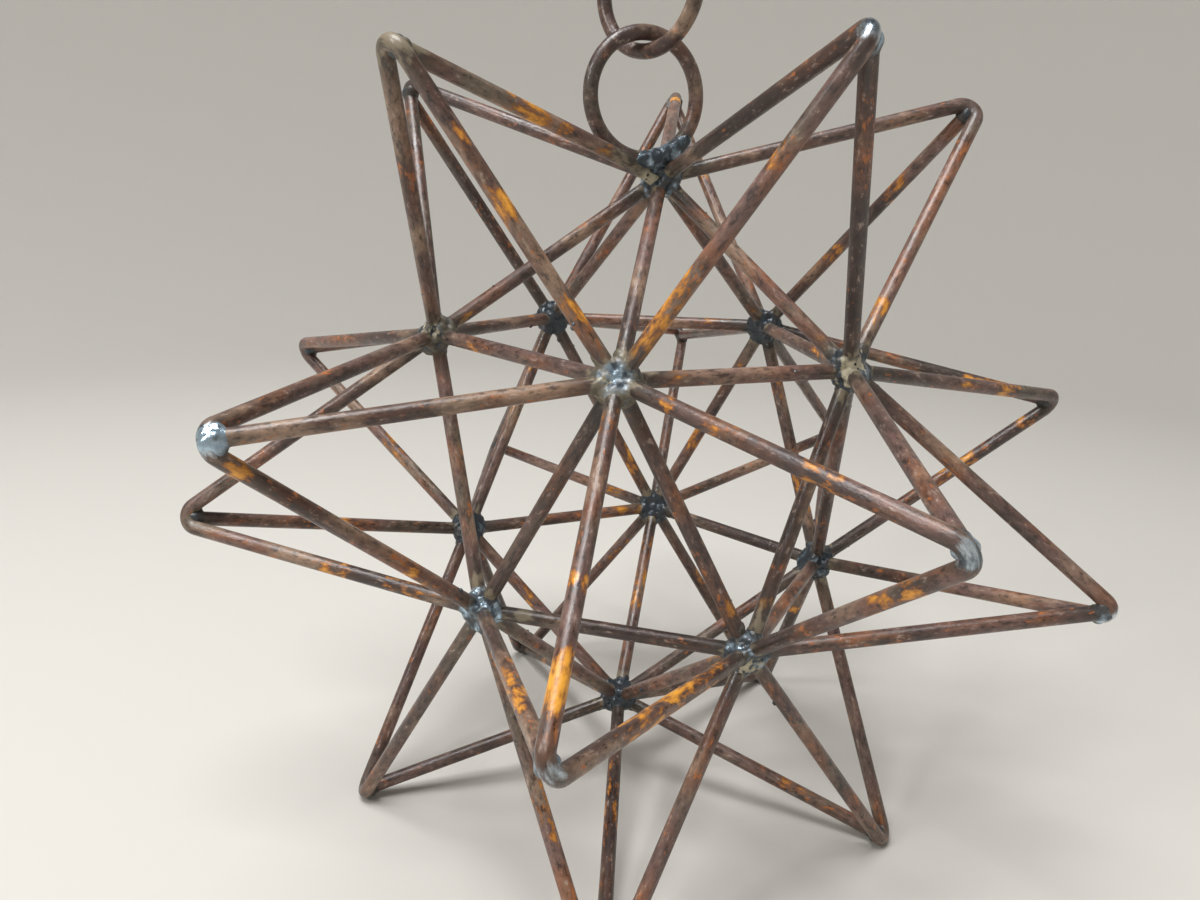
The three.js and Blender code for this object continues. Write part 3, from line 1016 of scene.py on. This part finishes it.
def weld_piece(name, blobs, finish, melt, ripple, heart, heart_radius, slag_side=UP):
    """Blobs of weld, each a middle and a radius, run together into one lump: the more melt, the
    smoother. Outside the heart begins the weld's toe."""
    bm = bmesh.new()
    for middle, radius in blobs:
        bmesh.ops.create_icosphere(bm, subdivisions=3, radius=radius, matrix=Matrix.Translation(middle))
    mesh = bpy.data.meshes.new("blobs")
    bm.to_mesh(mesh)
    bm.free()
    lump = bpy.data.objects.new("blobs", mesh)
    bpy.context.scene.collection.objects.link(lump)
    remesh = lump.modifiers.new("run_together", "REMESH")
    remesh.mode = "VOXEL"
    remesh.voxel_size = WELD_VOXEL
    bm = bmesh.new()
    bm.from_object(lump, bpy.context.evaluated_depsgraph_get())
    bpy.data.objects.remove(lump)
    for _ in range(melt):
        bmesh.ops.smooth_vert(
            bm, verts=bm.verts, factor=0.5, use_axis_x=True, use_axis_y=True, use_axis_z=True
        )
    bm.normal_update()
    shine, slag, ash, toe = (bm.verts.layers.float.new(layer) for layer in WELD_LAYERS)
    for point in bm.verts:
        rises = (noise.noise(point.co / apart) * rise for apart, rise in WELD_RIPPLES)
        point.co += point.normal * ripple * sum(rises)
        point[shine], _, point[ash] = finish
        point[slag] = finish[1] * max(0, (point.co - heart).normalized().dot(slag_side))
        point[toe] = min(1, max(0, ((point.co - heart).length - heart_radius) / TOE_LENGTH))
    new_piece(name, bm, arc_welded)


def any_side(along, chance):
    """A way square to another, picked by chance."""
    return Matrix.Rotation(chance.uniform(0, math.tau), 3, along) @ along.orthogonal().normalized()


def hub_weld(hub):
    """Ten bars crowd into a hub: a core with a cap outside, collars on each root, runs along some bars,
    and a fillet in each crotch."""
    chance = random.Random(hub)
    middle = hubs[hub]
    outward = (middle - star_middle).normalized()
    blobs = [(middle, HUB_CORE)]
    for _ in range(CAP_BLOBS):
        side = any_side(outward, chance)
        place = middle + outward * chance.uniform(*CAP_RISE) + side * chance.uniform(*CAP_ASIDE)
        blobs.append((place, chance.uniform(*CAP_RADII)))
    for along in roots[hub]:
        side = any_side(along, chance)
        for reach, aside, radius in COLLARS:
            blobs.append((middle + along * reach + side * aside, radius))
        if chance.random() < RUN_CHANCE:
            place = middle + along * chance.uniform(*RUN_REACH) + side * RUN_ASIDE
            blobs.append((place, RUN_RADIUS))
    for index, along in enumerate(roots[hub]):
        for other in roots[hub][index + 1 :]:
            if along.angle(other) < CROTCH_ANGLE:
                between = (along + other).normalized()
                place = middle + between * chance.uniform(*FILLET_REACH)
                blobs.append((place, chance.uniform(*FILLET_RADII)))
    finish = HUB_FINISH.get(hub, PLAIN_WELD)
    weld_piece(
        f"{hub}_hub_weld",
        blobs,
        finish,
        melt=7,
        ripple=1,
        heart=middle,
        heart_radius=HUB_HEART - HUB_ASH_CREEP * finish[2],
        slag_side=Vector(SLAG_SIDE.get(hub, UP)).normalized(),
    )


def tip_weld(name, bow):
    """The lump that holds a leg in the bend of its bow. A thick one goes right round the bend."""
    chance = random.Random(name)
    finish = TIP_FINISH.get(name, PLAIN_WELD)
    leg = (hubs[bow.leg_hub] - bow.tip).normalized()
    along_bow = (bow.inward + bow.outward).normalized()
    sideways = leg.cross(along_bow).normalized()
    blobs = [(bow.tip + leg * down, radius) for down, radius in TIP_LEG_BLOBS]
    for out in (along_bow, -along_bow):
        between = (leg + out).normalized()
        blobs.append((bow.tip + between * TIP_CROTCH_REACH, chance.uniform(*TIP_SIDE_RADII)))
    for out in (sideways, -sideways):
        place = bow.tip + leg * TIP_SIDE_DOWN + out * TIP_SIDE_OUT
        blobs.append((place, chance.uniform(*TIP_SIDE_RADII)))
    thick = finish[0] > THICK_WELD
    for turn in THICK_TURNS if thick else ():
        arm = Matrix.Rotation(bow.sweep * turn, 3, bow.across) @ (bow.tip - bow.centre)
        blobs.append((bow.centre + arm + leg * THICK_DOWN, chance.uniform(*THICK_RADII)))
    weld_piece(
        f"{name}_tip_weld",
        blobs,
        finish,
        melt=8,
        ripple=0.5,
        heart=bow.tip + leg * TIP_HEART_DOWN,
        heart_radius=THICK_HEART if thick else TIP_HEART,
    )


def ring_weld():
    """The long bead between the welded ring and its hub: a band on the ring, and a web below it."""
    blobs = []
    for bead in range(RING_BEADS):
        share = 2 * bead / (RING_BEADS - 1) - 1
        toward = Matrix.Rotation(share * EYE_WELD_ARC / 2, 3, eye_across) @ -eye_seat
        place = eye_middle + toward * (RING_RADIUS + RING_BEAD_OUT) + eye_across * RING_BEAD_ASIDE
        blobs.append((place, RING_BEAD_RADIUS - RING_BEAD_TAPER * share * share))
        if abs(share) < RING_WEB_SHARE:
            for way, radius in RING_WEB:
                blobs.append((place.lerp(hubs["top"], way), radius))
    weld_piece(
        "hanging_ring_weld",
        blobs,
        RING_FINISH,
        melt=6,
        ripple=1,
        heart=ring_seat,
        heart_radius=RING_HEART,
    )


def root_slag():
    """A crust of slag left on the root of one leg at the top hub, and across the front of that hub."""
    chance = random.Random("root_slag")
    tip = dict(spikes())["crown_spike_5"].tip
    along = (tip - hubs["top"]).normalized()
    front = Vector((0, -1, 0))
    sag = (front - along.cross(UP).cross(along)).normalized()
    blobs = []
    for step in range(CRUST_BLOBS):
        reach = CRUST_START + CRUST_STEP * step
        place = hubs["top"] + along * reach + sag * (CRUST_SAG - CRUST_SAG_LOSS * reach)
        blobs.append((place, chance.uniform(*CRUST_RADII)))
    weld_piece(
        "top_root_slag",
        blobs,
        ROOT_SLAG_FINISH,
        melt=7,
        ripple=0.7,
        heart=hubs["top"],
        heart_radius=CRUST_HEART,
        slag_side=(along + sag).normalized(),
    )


def spatter():
    """Small drops of metal that flew from the welds and froze flat on the bars near them."""
    chance = random.Random("spatter")
    bm = bmesh.new()
    for hub, alongs in roots.items():
        for radius in SPATTER_RADII:
            along = chance.choice(alongs)
            out = any_side(along, chance)
            place = hubs[hub] + along * chance.uniform(*SPATTER_REACH) + out * BAR_RADIUS
            facing = out.to_track_quat("Z", "Y").to_matrix().to_4x4()
            flat = Matrix.Diagonal((1, 1, SPATTER_HEIGHT, 1))
            drop = Matrix.Translation(place) @ facing @ flat
            bmesh.ops.create_icosphere(bm, subdivisions=2, radius=radius, matrix=drop)
    shine, slag, ash, toe = (bm.verts.layers.float.new(layer) for layer in WELD_LAYERS)
    for point in bm.verts:
        point[shine], point[slag], point[ash] = SPATTER_FINISH
        point[toe] = 0
    new_piece("weld_spatter", bm, arc_welded)


rusted_bar = rusted_bar_finish()
arc_welded = weld_finish()

# The core
hoop_steps = [(sector + 1, (sector + 1) % SECTORS + 1) for sector in range(SECTORS)]
for row in ("upper", "lower"):
    rod_piece(f"{row}_hoop", *((f"{row}_{a}", f"{row}_{b}") for a, b in hoop_steps))
rod_piece("top_spider", *(("top", f"upper_{a}") for a, _ in hoop_steps))
for a, b in hoop_steps:
    rod_piece(f"bottom_spoke_{a}", ("bottom", f"lower_{a}"))
    rod_piece(f"waist_strut_{2 * a - 1}", (f"upper_{a}", f"lower_{a}"))
    rod_piece(f"waist_strut_{2 * a}", (f"lower_{a}", f"upper_{b}"))

# The spikes
for spike, bow in spikes():
    bow_piece(f"{spike}_bow", bow)
    leg_piece(f"{spike}_leg", bow)
    tip_weld(spike, bow)

# The rings
link_middle = hinge + UP * (RING_RADIUS - 2 * BAR_RADIUS - LINK_SLACK)
ring_seat = eye_middle - eye_seat * RING_RADIUS
ring_piece("hanging_ring", eye_middle, EYE_TURN, "welded_star")
ring_piece("loose_ring", link_middle, LINK_TURN, "loose_link")
ring_weld()
root_slag()

# The welds at the hubs
for hub in hubs:
    hub_weld(hub)
spatter()

# Floor and backdrop: a pale round cove that curves up on all sides, in metres
COVE_RADIUS = 2.2
COVE_HEIGHT = 2.6
COVE_SWEEP = 1.0
COVE_SIDES = 96


def pale_cove(floor_height):
    """Plain matt paper, so pale that the star stands out against it."""
    bm = bmesh.new()
    floor = bmesh.ops.create_circle(
        bm,
        cap_ends=True,
        segments=COVE_SIDES,
        radius=COVE_RADIUS,
        matrix=Matrix.Translation(UP * floor_height),
    )
    rim = floor["verts"]
    corner = list({edge for point in rim for edge in point.link_edges})
    grown = bmesh.ops.extrude_edge_only(bm, edges=corner)["geom"]
    wall_top = [part for part in grown if isinstance(part, bmesh.types.BMVert)]
    bmesh.ops.translate(bm, verts=wall_top, vec=UP * COVE_HEIGHT)
    bmesh.ops.bevel(
        bm, geom=corner, offset=COVE_SWEEP, segments=16, profile=0.5, affect="EDGES", material=-1
    )
    bmesh.ops.recalc_face_normals(bm, faces=bm.faces)
    bmesh.ops.reverse_faces(bm, faces=bm.faces)
    material, _, shader = new_finish("pale_matt_paper")
    shader.inputs["Base Color"].default_value = linear("#d0cdc7")
    shader.inputs["Roughness"].default_value = 0.9
    mesh = bpy.data.meshes.new("pale_cove")
    bm.to_mesh(mesh)
    bm.free()
    mesh.materials.append(material)
    mesh.shade_smooth()
    cove = bpy.data.objects.new("pale_cove", mesh)
    bpy.context.scene.collection.objects.link(cove)
    cove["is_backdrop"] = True


# The star's bends are a little rounder than those of its solids, so its feet end just above zero
pale_cove(floor_height=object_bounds()[0][2])


# Light, in metres and watts: one large soft lamp above the front, a smaller one from the left, a pale sky
def soft_lamp(name, place, target, size, power):
    lamp = bpy.data.lights.new(name, "AREA")
    lamp.shape = "DISK"
    lamp.size = size
    lamp.energy = power
    stand = bpy.data.objects.new(name, lamp)
    stand.location = place
    stand.rotation_euler = (Vector(target) - Vector(place)).to_track_quat("-Z", "Y").to_euler()
    bpy.context.scene.collection.objects.link(stand)


star_aim = (0, 0, 0.16)
soft_lamp("overhead", place=(-0.3, -0.35, 1.9), target=star_aim, size=1.1, power=38)
soft_lamp("left_window", place=(-0.9, -0.9, 1.1), target=star_aim, size=0.3, power=7)
world = bpy.data.worlds.new("pale_sky")
world.use_nodes = True
world.node_tree.nodes["Background"].inputs["Color"].default_value = linear("#e9edf2")
world.node_tree.nodes["Background"].inputs["Strength"].default_value = 0.2
bpy.context.scene.world = world
bpy.context.scene.view_settings.view_transform = "Standard"

# Camera at the photograph's place, for a picture of 1200 by 900
CAMERA_PLACE = Vector((52, -395.4, 273.2)) * MM
CAMERA_YAW = math.radians(99.93)
CAMERA_PITCH = math.radians(-15.29)
CAMERA_ROLL = math.radians(2.06)
FOCAL_PIXELS = 916.0
PICTURE_WIDTH = 1200

lens = bpy.data.cameras.new("photo_camera")
lens.sensor_fit = "HORIZONTAL"
lens.sensor_width = 36
lens.lens = FOCAL_PIXELS * lens.sensor_width / PICTURE_WIDTH
lens.clip_start = 10 * MM
camera = bpy.data.objects.new("photo_camera", lens)
level = Euler((math.pi / 2 + CAMERA_PITCH, 0, CAMERA_YAW - math.pi / 2)).to_matrix()
turned = level @ Matrix.Rotation(CAMERA_ROLL, 3, "Z")
camera.matrix_world = Matrix.Translation(CAMERA_PLACE) @ turned.to_4x4()
bpy.context.scene.collection.objects.link(camera)
bpy.context.scene.camera = camera
